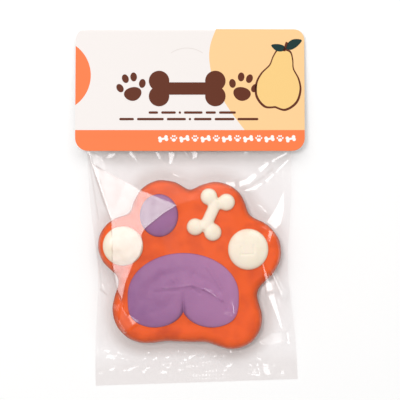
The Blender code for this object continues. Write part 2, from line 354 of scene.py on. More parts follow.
def segment_share(x, y, start, end):
    """How far along a straight line the nearest place is, 0 to 1, and the signed distance from it."""
    along = (end[0] - start[0], end[1] - start[1])
    length = math.hypot(*along)
    share = ((x - start[0]) * along[0] + (y - start[1]) * along[1]) / length ** 2
    side = ((x - start[0]) * along[1] - (y - start[1]) * along[0]) / length
    share = np.clip(share, 0.0, 1.0)
    distance = np.hypot(x - start[0] - share * along[0], y - start[1] - share * along[1])
    return share, np.where(side < 0, -distance, distance)


def paw_distance(x, y):
    """Distance in plan from the paw outline, negative inside it."""
    total = 0.0
    for a, b, r in PAW_LOBES:
        total = total + np.exp((r - np.hypot(x - a, y - b)) / PAW_MELT)
    return -PAW_MELT * np.log(total)


def paw_ring(inset):
    """Ring of places at one distance inside the paw outline, as arrays of x and y."""
    across, along = np.cos(PAW_ANGLES), np.sin(PAW_ANGLES)
    near, far = np.zeros(PAW_SIDES), np.full(PAW_SIDES, PAW_REACH)
    for _ in range(PAW_HALVINGS):
        reach = (near + far) / 2
        inside = paw_distance(PAW_MIDDLE[0] + reach * across, PAW_MIDDLE[1] + reach * along) < -inset
        near, far = np.where(inside, reach, near), np.where(inside, far, reach)
    return PAW_MIDDLE[0] + near * across, PAW_MIDDLE[1] + near * along


def coat_profile():
    """(inset, z) pairs of the coat's side and shoulder, from its lip to its top."""
    profile = []
    for i in range(COAT_SIDE_STEPS):
        down = 1 - i / COAT_SIDE_STEPS
        z = COAT_WAIST_Z - (COAT_WAIST_Z - COAT_LIP_Z) * down
        profile.append((COAT_LIP_TUCK * down ** 2, z))
    for i in range(COAT_SHOULDER_STEPS + 1):
        turn = math.pi / 2 * i / COAT_SHOULDER_STEPS
        inset = COAT_SHOULDER_RUN - COAT_SHOULDER_RUN * math.cos(turn)
        z = COAT_WAIST_Z + (COAT_TOP_Z - COAT_WAIST_Z) * math.sin(turn)
        profile.append((inset, z))
    return profile


def coat_rings():
    """Rings of the coat before its unevenness; its rounded side is wider at the foot and at the left."""
    rings = []
    profile = coat_profile()
    profile.insert(0, (profile[0][0] + COAT_UNDERSIDE, COAT_LIP_Z + COAT_UNDERSIDE_RISE))
    widened = 1 + COAT_FOOT_WIDENING * np.clip(-np.sin(PAW_ANGLES), 0, 1)
    widened += COAT_LEFT_WIDENING * np.clip(-np.cos(PAW_ANGLES), 0, 1)
    for inset, z in profile:
        x, y = paw_ring(inset * widened)
        rings.append([(a, b, z) for a, b in zip(x, y)])
    shoulder_x, shoulder_y = paw_ring(COAT_SHOULDER_RUN * widened)
    for i in range(1, COAT_TOP_STEPS):
        share = 1 - i / COAT_TOP_STEPS
        x = PAW_MIDDLE[0] + (shoulder_x - PAW_MIDDLE[0]) * share
        y = PAW_MIDDLE[1] + (shoulder_y - PAW_MIDDLE[1]) * share
        rings.append([(a, b, COAT_TOP_Z) for a, b in zip(x, y)])
    return rings


def uneven_place(x, y, z):
    """Place on the coat, moved by how the icing was poured: swells on top, bulges at the sides."""
    high = max(0.0, (z - COAT_LIP_Z) / (COAT_TOP_Z - COAT_LIP_Z))
    swell = unevenness(x, y, COAT_LUMPS)
    out = COAT_BULGE * lumps(x, y, COAT_BULGE_SIZE, 9.0) * (1 - high)
    reach = math.hypot(x - PAW_MIDDLE[0], y - PAW_MIDDLE[1])
    grow = out / max(reach, 1.0)
    return x + (x - PAW_MIDDLE[0]) * grow, y + (y - PAW_MIDDLE[1]) * grow, z + swell * high


def build_coat(material):
    """Orange icing coat: tucked in at its lip, rounded over the shoulder, gently uneven on top."""
    rings = [[uneven_place(*place) for place in ring] for ring in coat_rings()]
    points = ring_points(rings, False, True)
    faces = ring_faces(len(rings), PAW_SIDES, False, True)
    coat = smooth_mesh("orange_icing_coat", points, faces, material)
    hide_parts("icing_orange")
    return coat


def pad_reach(angle):
    """Distance from the pad's middle to its rim: round above, squarer and notched below."""
    across, along = math.cos(angle), math.sin(angle)
    if along >= 0:
        return 1 / math.hypot(across / PAD_HALF_WIDTH, along / PAD_TOP_REACH)
    power = PAD_LOW_SQUARENESS
    reach = (abs(across / PAD_HALF_WIDTH) ** power + abs(along / PAD_LOW_REACH) ** power) ** (-1 / power)
    from_below = abs(math.atan2(across, -along))
    return reach - PAD_NOTCH * max(0.0, 1 - from_below / PAD_NOTCH_SPREAD) ** PAD_NOTCH_POWER


# Ropes, grooves and crests of the piped pad, as (height, width, places along it)
PAD_CREASES = [
    (0.42, 0.55, [(-14.6, -43.4), (-9.4, -43.2), (-4.4, -42.8), (1.1, -41.9), (7.4, -44.2)]),
    (0.6, 0.5, [(7.4, -44.2), (13.7, -47.4), (17.6, -50.5)]),
    (0.3, 0.7, [(17.6, -50.5), (19.6, -54.5)]),
    (0.45, 2.0, [(-2.0, -41.0), (4.0, -41.0), (10.0, -43.8), (16.5, -48.5)]),
    (-0.45, 0.8, [(1.5, -44.0), (5.0, -46.4)]),
    (-0.25, 0.8, [(-18.5, -45.8), (-12.0, -45.3), (-6.5, -45.2)]),
    (0.5, 0.6, [(9.0, -32.0), (12.0, -36.0), (14.6, -40.0), (16.8, -43.5), (17.6, -46.0)]),
    (0.35, 1.6, [(4.0, -27.8), (9.0, -31.5), (13.0, -37.0), (16.6, -43.5)]),
    (-0.5, 1.8, [(1.9, -36.5), (9.0, -39.5), (15.4, -46.0)]),
    (-0.55, 2.6, [(-15.0, -37.0), (-21.5, -42.0), (-24.0, -49.0), (-21.5, -56.5)]),
    (-0.35, 2.2, [(-15.0, -37.0), (-6.0, -34.5), (2.0, -35.0)]),
    (-0.45, 2.2, [(19.0, -38.0), (21.6, -46.0), (20.6, -55.0)]),
    (0.3, 0.5, [(-9.6, -39.0), (-9.0, -40.2)]),
    (0.25, 0.5, [(-7.8, -38.2), (-7.4, -38.8)]),
]
PAD_SWIRL_MIDDLE = (-14.6, -49.4)
PAD_SWIRL_HEIGHT = 0.4
PAD_SWIRL_SPREAD = 3.4
PAD_GROOVE_RADIUS = 4.6
PAD_GROOVE_WIDTH = 1.6
PAD_GROOVE_DEPTH = 0.15
PAD_CLEFT_X = -3.5
PAD_CLEFT_END_Y = -46.0
PAD_CLEFT_RUN = 11.0
PAD_CLEFT_DEPTH = 1.9
PAD_CLEFT_WIDTH = 1.1
PAD_CLEFT_POWER = 1.4


def pad_relief(x, y):
    """Height that the pad's ropes, crests, cleft and left-hand swirl add at one place."""
    total = unevenness(x, y, PAD_LUMPS)
    for height, width, places in PAD_CREASES:
        nearest = min(abs(float(segment_share(x, y, a, b)[1])) for a, b in zip(places, places[1:]))
        total += ridge(height, nearest, width)
    deepening = min(1.0, max(0.0, (PAD_CLEFT_END_Y - y) / PAD_CLEFT_RUN))
    beside = abs((x - PAD_CLEFT_X) / PAD_CLEFT_WIDTH)
    total -= PAD_CLEFT_DEPTH * deepening * math.exp(-beside ** PAD_CLEFT_POWER)
    reach = math.hypot(x - PAD_SWIRL_MIDDLE[0], y - PAD_SWIRL_MIDDLE[1])
    total += ridge(PAD_SWIRL_HEIGHT, reach, PAD_SWIRL_SPREAD)
    return total - ridge(PAD_GROOVE_DEPTH, reach - PAD_GROOVE_RADIUS, PAD_GROOVE_WIDTH)


def toe_relief(x, y):
    """Faint unevenness of a toe drop, with the mark where the film has pressed on the right-hand one."""
    total = unevenness(x, y, TOE_LUMPS)
    for start, end in TOE_MARKS:
        total -= ridge(TOE_MARK_DEPTH, float(segment_share(x, y, start, end)[1]), TOE_MARK_WIDTH)
    return total


def dome_rings(middle, reach, top, sides, relief):
    """Rings of a piped drop: steep at its rim, where they lie closest, and broad on top."""
    rings = []
    for level in range(PIPED_STEPS):
        share = 1 - (level / PIPED_STEPS) ** PIPED_STEP_POWER
        turn = math.acos(share ** (1 / PIPED_STEEPNESS))
        share -= PIPED_TUCK * math.exp(-level)
        ring = []
        for i in range(sides):
            angle = 2 * math.pi * i / sides
            x = middle[0] + share * reach(angle) * math.cos(angle)
            y = middle[1] + share * reach(angle) * math.sin(angle)
            rise = (top - PIPED_BASE) + relief(x, y)
            ring.append((x, y, PIPED_BASE + rise * math.sin(turn)))
        rings.append(ring)
    return rings


def oval_reach(half_width, half_height):
    """Reach of an oval rim at each angle."""
    return lambda angle: 1 / math.hypot(math.cos(angle) / half_width, math.sin(angle) / half_height)


def build_dome(name, rings, sides, material, replaced):
    """Piped drop from its rings."""
    points = ring_points(rings, True, True)
    drop = smooth_mesh(name, points, ring_faces(len(rings), sides, True, True), material)
    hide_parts(replaced)
    return drop


def build_pad(material):
    """Large violet pad."""
    rings = dome_rings(PAD_MIDDLE, pad_reach, PAD_TOP_Z, PAD_SIDES, pad_relief)
    return build_dome("violet_icing_pad", rings, PAD_SIDES, material, "icing_pad")


def build_toes(materials):
    """One oval drop for each toe."""
    for solid, piece, middle, half_width, half_height, slot in TOES:
        reach = oval_reach(half_width, half_height)
        rings = dome_rings(middle, reach, TOE_TOP_Z, TOE_SIDES, toe_relief)
        build_dome(piece, rings, TOE_SIDES, materials[slot], solid)


def build_bone(material):
    """White bone: a shaft melted into four knobs."""
    bm = bmesh.new()
    for x, y, radius in BONE_KNOBS:
        made = bmesh.ops.create_uvsphere(bm, u_segments=BONE_SIDES, v_segments=BONE_KNOB_RINGS,
                                         radius=radius)
        bmesh.ops.scale(bm, vec=(1, 1, (BONE_TOP_Z - BONE_WAIST_Z) / radius), verts=made["verts"])
        bmesh.ops.translate(bm, vec=(x, y, BONE_WAIST_Z), verts=made["verts"])
    (x0, y0), (x1, y1) = BONE_SHAFT
    made = bmesh.ops.create_cone(bm, cap_ends=True, segments=BONE_SIDES, radius1=BONE_SHAFT_RADIUS,
                                 radius2=BONE_SHAFT_RADIUS, depth=math.hypot(x1 - x0, y1 - y0))
    flatness = (BONE_SHAFT_TOP_Z - BONE_WAIST_Z) / BONE_SHAFT_RADIUS
    lie = Matrix.Rotation(math.pi / 2, 4, "Y")
    place = Matrix.Translation(((x0 + x1) / 2, (y0 + y1) / 2, BONE_WAIST_Z))
    turn = Matrix.Rotation(math.atan2(y1 - y0, x1 - x0), 4, "Z")
    flatten = Matrix.Diagonal((1, 1, flatness, 1))
    bmesh.ops.transform(bm, matrix=place @ turn @ flatten @ lie, verts=made["verts"])
    bmesh.ops.scale(bm, vec=(MM, MM, MM), verts=bm.verts)
    mesh = bpy.data.meshes.new("white_icing_bone")
    bm.to_mesh(mesh)
    bm.free()
    bone = add_piece("white_icing_bone", mesh, material)
    remesh = bone.modifiers.new("Melt", "REMESH")
    remesh.mode = "VOXEL"
    remesh.voxel_size = BONE_VOXEL * MM
    soften = bone.modifiers.new("Soften", "SMOOTH")
    soften.factor = BONE_SOFTNESS
    soften.iterations = BONE_SOFTENINGS
    evaluated = bone.evaluated_get(bpy.context.evaluated_depsgraph_get())
    bone.data = bpy.data.meshes.new_from_object(evaluated)
    bone.modifiers.clear()
    bone.data.shade_smooth()
    bone.data.materials.clear()
    bone.data.materials.append(material)
    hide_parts("icing_bone")
    return bone


def card_middle(y):
    """Height of the middle of the folded card, which leans down to rest on its fold."""
    return MOUTH_HEIGHT + (CARD_HALF_THICKNESS - MOUTH_HEIGHT) * (y - MOUTH_Y) / CARD_DEPTH


def bag_half_width(along):
    """Half the bag's width at one distance from its mouth, drawn in where it spans the toes."""
    return BAG_HALF_WIDTH - BAG_WAIST * np.exp(-((along - BAG_WAIST_Y) / BAG_WAIST_SPREAD) ** 2)


def bag_place(across, along):
    """Turn a place on the flat bag into one on the floor."""
    x = BAG_MOUTH_X + across * math.cos(BAG_TURN) - along * math.sin(BAG_TURN)
    y = MOUTH_Y + across * math.sin(BAG_TURN) + along * math.cos(BAG_TURN)
    return x, y


def edge_height(along):
    """Height of the bag's folded side edges."""
    return np.interp(along, *zip(*BAG_EDGE_HEIGHTS))


def rounded_height(share, foot, top):
    """Height of the film over a rounded side, where the share falls from one at its rim."""
    height = foot + (top - foot) * np.sqrt(np.maximum(0, 1 - share ** 2))
    return np.where(share < 1, height + FILM_CLEARANCE, 0.0)


def contents_height(x, y):
    """Height that the film must clear over the biscuit and its icing."""
    inset = np.clip(-paw_distance(x, y), 0, COAT_SHOULDER_RUN)
    height = rounded_height(1 - inset / COAT_SHOULDER_RUN, COAT_WAIST_Z, COAT_TOP_Z)
    for _, _, (a, b), half_width, half_height, _ in TOES:
        share = np.hypot((x - a) / half_width, (y - b) / half_height)
        height = np.maximum(height, dome_height(share, TOE_TOP_Z))
    angle = np.arctan2(y - PAD_MIDDLE[1], x - PAD_MIDDLE[0])
    reach = np.vectorize(pad_reach)(angle)
    share = np.hypot(x - PAD_MIDDLE[0], y - PAD_MIDDLE[1]) / reach
    height = np.maximum(height, dome_height(share, PAD_TOP_Z + PAD_ROPE_CLEARANCE))
    for a, b, radius in BONE_KNOBS:
        share = np.hypot(x - a, y - b) / radius
        height = np.maximum(height, rounded_height(share, BONE_WAIST_Z, BONE_TOP_Z))
    return height


def dome_height(share, top):
    """Height of the film over a piped drop, at one share of the way from its middle to its rim."""
    turn = np.arccos(np.clip(share, 0, 1) ** (1 / PIPED_STEEPNESS))
    return np.where(share < 1, PIPED_BASE + (top - PIPED_BASE) * np.sin(turn) + FILM_CLEARANCE, 0.0)


def blurred(heights, step, radius):
    """Round a grid of heights over so many millimetres."""
    reach = max(1, int(round(2 * radius / step)))
    offsets = np.arange(-reach, reach + 1) * step
    weights = np.exp(-(offsets / radius) ** 2)
    weights /= weights.sum()
    for axis in (0, 1):
        padded = np.pad(heights, [(reach, reach) if a == axis else (0, 0) for a in (0, 1)], mode="edge")
        total = 0.0
        for i, weight in enumerate(weights):
            cut = [slice(None), slice(None)]
            cut[axis] = slice(i, i + heights.shape[axis])
            total = total + weight * padded[tuple(cut)]
        heights = total
    return heights


# Large facets of the front film, as (x, y, height) of one place and the rise per millimetre of x and y
VEIL_FACET = ((-54.5, 27.3, 5.6), (0.108, -0.125))
CORNER_FACET = ((-34.7, 13.9, 9.4), (0.053, -0.101))
SIDE_FACET = ((-40.0, -24.0, 13.0), (0.112, -0.070))

# Outline of the broad fold at the left that catches the light like a veil, in runs of places
VEIL_CORNER = [(-53.9, 24.5), (-46.2, 20.1), (-34.7, 13.9), (-43.1, -5.7), (-47.3, 6.4), (-51.2, 17.9)]
VEIL_EDGE = [(-34.7, 13.9), (-27.0, 9.7), (-6.6, 1.4), (-13.0, -2.3), (-24.2, -11.2), (-26.2, -14.5)]
VEIL_NECK = [(-25.4, -20.0), (-26.8, -25.5), (-30.5, -30.0)]
VEIL_SIDE = [(-43.1, -5.7), (-42.4, -17.8)]
VEIL_FOOT = [(-42.3, -30.5), (-41.0, -38.0), (-39.2, -46.4), (-36.8, -51.4), (-34.7, -40.7), (-33.0, -32.1)]
VEIL_OUTLINE = VEIL_CORNER[4:] + VEIL_CORNER[:2] + VEIL_EDGE + VEIL_NECK + VEIL_FOOT[::-1] + VEIL_SIDE[::-1]
VEIL_MIRROR = 0.009

# Other places that the front film is pulled over, as (x, y, height), and the line where its seal starts
TOE_CREASE = [(-6.6, 1.4, 14.0), (-8.6, -8.6, 13.0), (-13.0, -2.3, 13.8), (-16.0, -12.5, 12.9),
              (-24.2, -11.2, 13.6)]
TOP_CREASE = [(2.8, 3.9, 13.3), (10.3, 6.0, 13.2), (19.8, 3.0, 13.2), (31.7, -22.6, 13.1),
              (21.0, -47.0, 13.0), (17.0, -57.0, 12.7), (-18.0, -58.0, 12.8), (-27.0, -50.0, 12.9)]
SEAL_LINE_SHARE = 0.97
SEAL_LINE_PLACES = 9
SEAL_LINE_LIFT = 0.2
BORDER_SIDE_PLACES = 22
BORDER_END_PLACES = 15
CREASE_TOLERANCE = 0.01
ABOVE_ALL = 50

# Tapered folds that catch the light, as (start, end, width at the start, width at the end)
FILM_STREAKS = [
    ((-46.2, 26.8), (-40.3, 29.9), 0.5, 1.2),
    ((-32.4, 30.6), (-29.3, 25.7), 3.8, 0.9),
    ((-18.0, 30.6), (-16.5, 25.9), 2.1, 0.5),
    ((-9.7, 30.6), (-10.8, 23.4), 4.2, 1.1),
    ((-2.4, 30.6), (0.3, 25.1), 1.1, 0.6),
    ((4.1, 30.5), (1.1, 25.9), 1.8, 0.6),
    ((29.0, 30.0), (33.0, 30.4), 1.4, 1.4),
    ((-9.2, 18.3), (-4.2, 16.1), 1.5, 1.0),
    ((-1.3, 14.6), (0.7, 13.9), 0.9, 1.0),
    ((-55.2, 29.8), (-43.3, -4.6), 0.9, 1.0),
    ((53.5, 30.0), (43.9, 25.1), 1.3, 1.7),
    ((43.6, 24.9), (37.4, 20.0), 1.9, 3.2),
    ((54.2, 26.6), (46.6, 18.9), 1.3, 1.4),
    ((46.3, 18.6), (40.8, 13.9), 1.4, 1.9),
    ((36.4, 2.2), (42.6, -3.0), 0.7, 0.9),
    ((53.3, -67.9), (54.6, -75.6), 1.0, 0.9),
    ((39.6, -30.2), (43.7, -45.6), 1.1, 4.2),
    ((44.2, -46.8), (50.6, -66.8), 4.2, 1.0),
    ((-48.9, 0.3), (-47.3, -10.1), 0.8, 1.0),
    ((-47.9, -41.5), (-46.2, -46.4), 1.8, 1.1),
    ((-49.0, -45.3), (-46.2, -52.5), 0.9, 1.4),
    ((-45.1, -40.9), (-42.6, -44.0), 1.5, 1.2),
    ((-47.5, -65.8), (-45.9, -69.6), 1.4, 1.8),
    ((-46.4, -70.5), (-52.0, -82.5), 0.8, 1.0),
    ((-48.1, -79.0), (-40.7, -82.6), 1.2, 2.2),
    ((-39.6, -79.2), (-32.3, -83.6), 2.4, 1.2),
    ((-20.7, -83.7), (-18.0, -82.3), 0.9, 1.3),
    ((-51.7, -90.6), (-47.9, -90.2), 0.9, 1.3),
    ((-21.8, -91.6), (-12.4, -91.2), 0.8, 0.9),
    ((36.2, -82.0), (35.8, -92.4), 1.4, 6.4),
    ((41.2, -84.6), (43.6, -92.6), 3.6, 2.4),
    ((42.4, -85.6), (47.0, -86.8), 1.4, 1.4),
    ((51.0, -88.6), (50.6, -92.6), 0.9, 3.2),
]

# Broader folds that catch the light: an outline and how far its rise is off the brightest one
FILM_PATCHES = [
    ([(35.6, 19.8), (31.0, 16.4), (26.0, 14.8), (26.4, 10.8), (33.4, 13.0), (37.6, 17.0)], 0.02),
    ([(25.0, 14.6), (18.6, 13.9), (19.4, 12.2), (25.6, 10.6)], 0.02),
    ([(34.6, 12.2), (28.0, 9.8), (30.0, 8.3), (37.0, 9.6), (40.6, 13.2), (39.4, 14.2)], 0.02),
    ([(50.0, 20.5), (50.0, 12.5), (51.8, 12.5), (51.6, 19.5)], 0.08),
    ([(51.6, 11.0), (46.8, 1.0), (40.9, -7.6), (46.6, -12.8), (50.3, -9.0), (52.0, -1.4)], 0.03),
    ([(41.8, -10.9), (46.3, -12.9), (43.5, -19.5)], 0.03),
    ([(43.0, -31.8), (46.6, -36.2), (51.6, -46.0), (50.0, -50.0), (46.6, -42.0), (44.8, -38.0)], 0.08),
    ([(37.0, -73.0), (44.0, -68.0), (51.2, -67.9), (51.7, -74.0), (45.0, -76.2)], 0.10),
    ([(-46.0, -69.0), (-42.0, -79.0), (-49.0, -80.0)], 0.10),
    ([(6.3, -42.8), (12.6, -45.9), (17.1, -50.2), (16.5, -51.0), (11.8, -46.8)], 0.05),
    ([(-15.4, -42.9), (-3.6, -42.4), (0.3, -41.7), (0.3, -42.5), (-3.6, -43.2), (-15.4, -43.7)], 0.10),
    ([(22.2, -47.5), (24.6, -52.0), (25.3, -56.5), (23.4, -59.6), (22.6, -53.0)], 0.09),
    ([(-33.4, -57.0), (-26.4, -61.9), (-29.5, -63.6)], 0.09),
    ([(-37.5, -52.0), (-33.6, -58.4), (-30.2, -64.5), (-35.4, -68.0), (-39.2, -62.0)], 0.13),
]

# Places where the film is doubled over, as (start, end, width, haze)
HAZY_FOLDS = [
    ((-55.3, 29.5), (-51.6, 17.5), 0.5, 0.8),
    ((-51.6, 17.5), (-46.1, 1.0), 0.6, 0.9),
    ((-46.1, 1.0), (-43.2, -6.3), 0.5, 0.7),
    ((-54.6, 23.6), (-49.9, -6.3), 0.5, 0.4),
    ((-48.8, -44.5), (-45.4, -47.5), 0.6, 0.6),
    ((-50.5, -22.0), (-48.5, -44.0), 0.6, 0.4),
    ((34.5, 12.6), (44.8, 20.8), 1.0, 0.35),
    ((28.6, 8.4), (33.5, -3.6), 0.6, 0.5),
]

# Small creases of the seal, scattered: (lowest, highest, likeliest) x, and lowest and highest of the rest
SEAL_SPARKLES = 160
SEAL_SPARKLE_GAP = 2.7
SEAL_SPARKLE_SEED = 5
SEAL_SPARKLE_X = (-52.0, 53.0, -6.0)
SEAL_SPARKLE_Y = (-92.0, -79.5)
SEAL_SPARKLE_LEAN = 30
SEAL_SPARKLE_LENGTH = (0.9, 2.4)
SEAL_SPARKLE_WIDTH = (0.8, 1.6)
SEAL_SPARKLE_TAPER = 0.7


def seal_sparkles():
    """Short streaks where the seal's film is crushed, thickest towards its middle."""
    chance = random.Random(SEAL_SPARKLE_SEED)
    streaks = []
    for _ in range(SEAL_SPARKLES):
        x = chance.triangular(*SEAL_SPARKLE_X)
        y = chance.uniform(*SEAL_SPARKLE_Y)
        turn = math.radians(chance.choice([0, 90]) + chance.uniform(-SEAL_SPARKLE_LEAN, SEAL_SPARKLE_LEAN))
        length = chance.uniform(*SEAL_SPARKLE_LENGTH)
        width = chance.uniform(*SEAL_SPARKLE_WIDTH)
        if all(math.dist((x, y), start) > SEAL_SPARKLE_GAP for start, *_ in streaks):
            end = (x + length * math.cos(turn), y + length * math.sin(turn))
            streaks.append(((x, y), end, width, SEAL_SPARKLE_TAPER * width))
    return streaks


def lit_rise(x, y):
    """Rise per millimetre of x and y of a facet that mirrors the main soft box to the camera."""
    place = Vector((x, y, MOUTH_HEIGHT)) * MM
    to_lamp = (soft_box_place(*KEY_PLACE) - place).normalized()
    to_camera = (Vector((*VIEW_MIDDLE, CAMERA_HEIGHT)) * MM - place).normalized()
    half = to_lamp + to_camera
    return -half.x / half.z, -half.y / half.z


def on_facet(facet, x, y):
    """Place on a flat facet of the film."""
    (x0, y0, z0), (rise_x, rise_y) = facet
    return x, y, z0 + rise_x * (x - x0) + rise_y * (y - y0)


def film_creases():
    """Crease lines of the front film, each a chain of (x, y, z) places joined by straight folds."""
    corner = [on_facet(CORNER_FACET, x, y) for x, y in VEIL_CORNER + VEIL_CORNER[:1]]
    veil = [on_facet(VEIL_FACET, x, y) for x, y in VEIL_EDGE]
    veil += [on_facet(SIDE_FACET, x, y) for x, y in VEIL_NECK]
    veil_side = [on_facet(VEIL_FACET, x, y) for x, y in VEIL_SIDE]
    foot = [on_facet(SIDE_FACET, x, y) for x, y in VEIL_FOOT]
    seal = []
    for share in np.linspace(-SEAL_LINE_SHARE, SEAL_LINE_SHARE, SEAL_LINE_PLACES):
        x, y, height = bag_edge_place(share, SEAL_START)
        seal.append((x, y, height + SEAL_LINE_LIFT))
    return [corner, veil, TOE_CREASE, veil_side, foot, TOP_CREASE, seal]


def bag_edge_place(share, along):
    """Place on the bag at its edge's height."""
    return (*bag_place(share * bag_half_width(along), along), edge_height(along))


def film_border():
    """Edge of the front film outside the card: its mouth, side folds and foot."""
    skew = BAG_HALF_WIDTH * math.tan(BAG_TURN)
    ends = np.linspace(-1, 1, BORDER_END_PLACES)[1:-1]
    left = [bag_edge_place(-1, along) for along in np.linspace(-BAG_LENGTH, skew, BORDER_SIDE_PLACES)]
    mouth = [(BAG_MOUTH_X + share * BAG_HALF_WIDTH, MOUTH_Y, MOUTH_HEIGHT + FILM_IN_CARD) for share in ends]
    right = [bag_edge_place(1, along) for along in np.linspace(-skew, -BAG_LENGTH, BORDER_SIDE_PLACES)]
    foot = [bag_edge_place(share, -BAG_LENGTH) for share in -ends]
    return left + mouth + right + foot


def creased_film(chains):
    """Tree of flat facets between the film's border and its crease lines."""
    points = film_border()
    edges = [(i, (i + 1) % len(points)) for i in range(len(points))]
    for chain in chains:
        first = len(points)
        points += chain
        edges += [(first + i, first + i + 1) for i in range(len(chain) - 1)]
    flat = [Vector(p[:2]) for p in points]
    places, _, faces, origins, _, _ = delaunay_2d_cdt(flat, edges, [], 1, CREASE_TOLERANCE)
    heights = []
    for place, origin in zip(places, origins):
        if origin:
            heights.append(points[origin[0]][2])
        else:
            nearest = sorted(points, key=lambda p: math.hypot(p[0] - place.x, p[1] - place.y))[:2]
            heights.append(sum(p[2] for p in nearest) / 2)
    net = [Vector((p.x, p.y, z)) for p, z in zip(places, heights)]
    return BVHTree.FromPolygons(net, faces)


def height_on(tree, x, y):
    """Height of a net of facets over one place."""
    hit = tree.ray_cast(Vector((x, y, ABOVE_ALL)), Vector((0, 0, -1)))[0]
    return hit.z if hit else None


def streak_outline(start, end, first_width, last_width):
    """Four corners of a tapered streak."""
    across = Vector((start[1] - end[1], end[0] - start[0])).normalized()
    corners = []
    for place, width, side in ((start, first_width, -1), (start, first_width, 1),
                               (end, last_width, 1), (end, last_width, -1)):
        corners.append((place[0] + side * across.x * width / 2, place[1] + side * across.y * width / 2))
    return corners


def fold_rise(tree, start, end, x, y):
    """Rise of a streak's facet: the mirroring one across it, nearer to the film's own along it."""
    rise = Vector(lit_rise(x, y))
    run = (Vector(end) - Vector(start)).normalized()
    first, last = height_on(tree, *start), height_on(tree, *end)
    if first is not None and last is not None:
        own = (last - first) / math.dist(start, end) - rise.dot(run)
        rise += run * max(-STREAK_LEEWAY, min(STREAK_LEEWAY, own))
    return rise


def lit_outlines(tree):
    """Folds that catch the light, as (outline, rise, whether the film keeps its height round it)."""
    folds = []
    for streak in FILM_STREAKS:
        for piece in streak_pieces(*streak):
            outline = anticlockwise(streak_outline(*piece))
            folds.append((outline, fold_rise(tree, *piece[:2], *np.mean(outline, axis=0)), True))
    for outline, off in FILM_PATCHES:
        outline = grown(anticlockwise(outline), -PATCH_GAP)[::2]
        folds.append((outline, Vector(lit_rise(*np.mean(outline, axis=0))) - Vector((off, 0)), True))
    for sparkle in seal_sparkles():
        outline = anticlockwise(streak_outline(*sparkle))
        folds.append((outline, Vector(lit_rise(*np.mean(outline, axis=0))), False))
    return folds


def lit_folds(tree):
    """Crease lines round each fold that catches the light, and the film's own height close round it."""
    folds = lit_outlines(tree)
    outlines = [outline for outline, *_ in folds]
    chains = []
    for outline, rise, footed in folds:
        middle = np.mean(outline, axis=0)
        height = height_on(tree, *middle)
        if height is None:
            continue
        for x, y in grown(outline, 0.0) + [tuple(middle)]:
            up = rise.dot(Vector((x, y)) - Vector(middle))
            contents = float(contents_height(np.array([x]), np.array([y]))[0])
            height = max(height, contents + FOLD_LIFT - up)
        chain = [(x, y, height + rise.dot(Vector((x, y)) - Vector(middle))) for x, y in outline]
        chains.append(chain + chain[:1])
        for x, y in grown(outline, FOLD_FOOT) if footed else []:
            height = height_on(tree, x, y)
            if height is not None and not any(inside(other, x, y) for other in outlines):
                chains.append([(x, y, height)])
    return chains


def anticlockwise(outline):
    """Outline with its places in anticlockwise order."""
    area = sum(a[0] * b[1] - b[0] * a[1] for a, b in zip(outline, outline[1:] + outline[:1]))
    return outline if area > 0 else outline[::-1]


def grown(outline, distance):
    """Corners and edge middles of an outline, moved outwards."""
    places = []
    for before, here, after in zip(outline[-1:] + outline, outline, outline[1:] + outline[:1]):
        first = Vector((here[1] - before[1], before[0] - here[0])).normalized()
        second = Vector((after[1] - here[1], here[0] - after[0])).normalized()
        corner = Vector(here) + (first + second).normalized() * distance
        middle = (Vector(here) + Vector(after)) / 2 + second * distance
        places += [tuple(corner), tuple(middle)]
    return places


def inside(outline, x, y):
    """Whether a place lies inside an anticlockwise outline or only a little outside it."""
    for here, after in zip(outline, outline[1:] + outline[:1]):
        out = Vector((after[1] - here[1], here[0] - after[0])).normalized()
        if out.dot(Vector((x - here[0], y - here[1]))) > FOLD_FOOT / 2:
            return False
    return True


def streak_pieces(start, end, first_width, last_width):
    """A long streak cut into shorter ones a little apart, so that each stays near the film's height."""
    length = math.dist(start, end)
    count = max(1, round(length / STREAK_PIECE))
    gap = STREAK_GAP / length if count > 1 else 0.0
    pieces = []
    for i in range(count):
        stops = []
        for share in (i / count + gap / 2, (i + 1) / count - gap / 2):
            place = [a + (b - a) * share for a, b in zip(start, end)]
            stops.append((place, first_width + (last_width - first_width) * share))
        (here, width), (there, next_width) = stops
        pieces.append((here, there, width, next_width))
    return pieces


def film_grid(step):
    """Grid of flat bag places: share across, distance along, and their x and y."""
    rows = int((BAG_LENGTH + BAG_TONGUE) / step) + 1
    columns = int(2 * BAG_HALF_WIDTH / step) + 1
    along, share = np.meshgrid(np.linspace(-BAG_LENGTH, BAG_TONGUE, rows), np.linspace(-1, 1, columns),
                               indexing="ij")
    x, y = bag_place(share * bag_half_width(along), along)
    return share, along, x, y


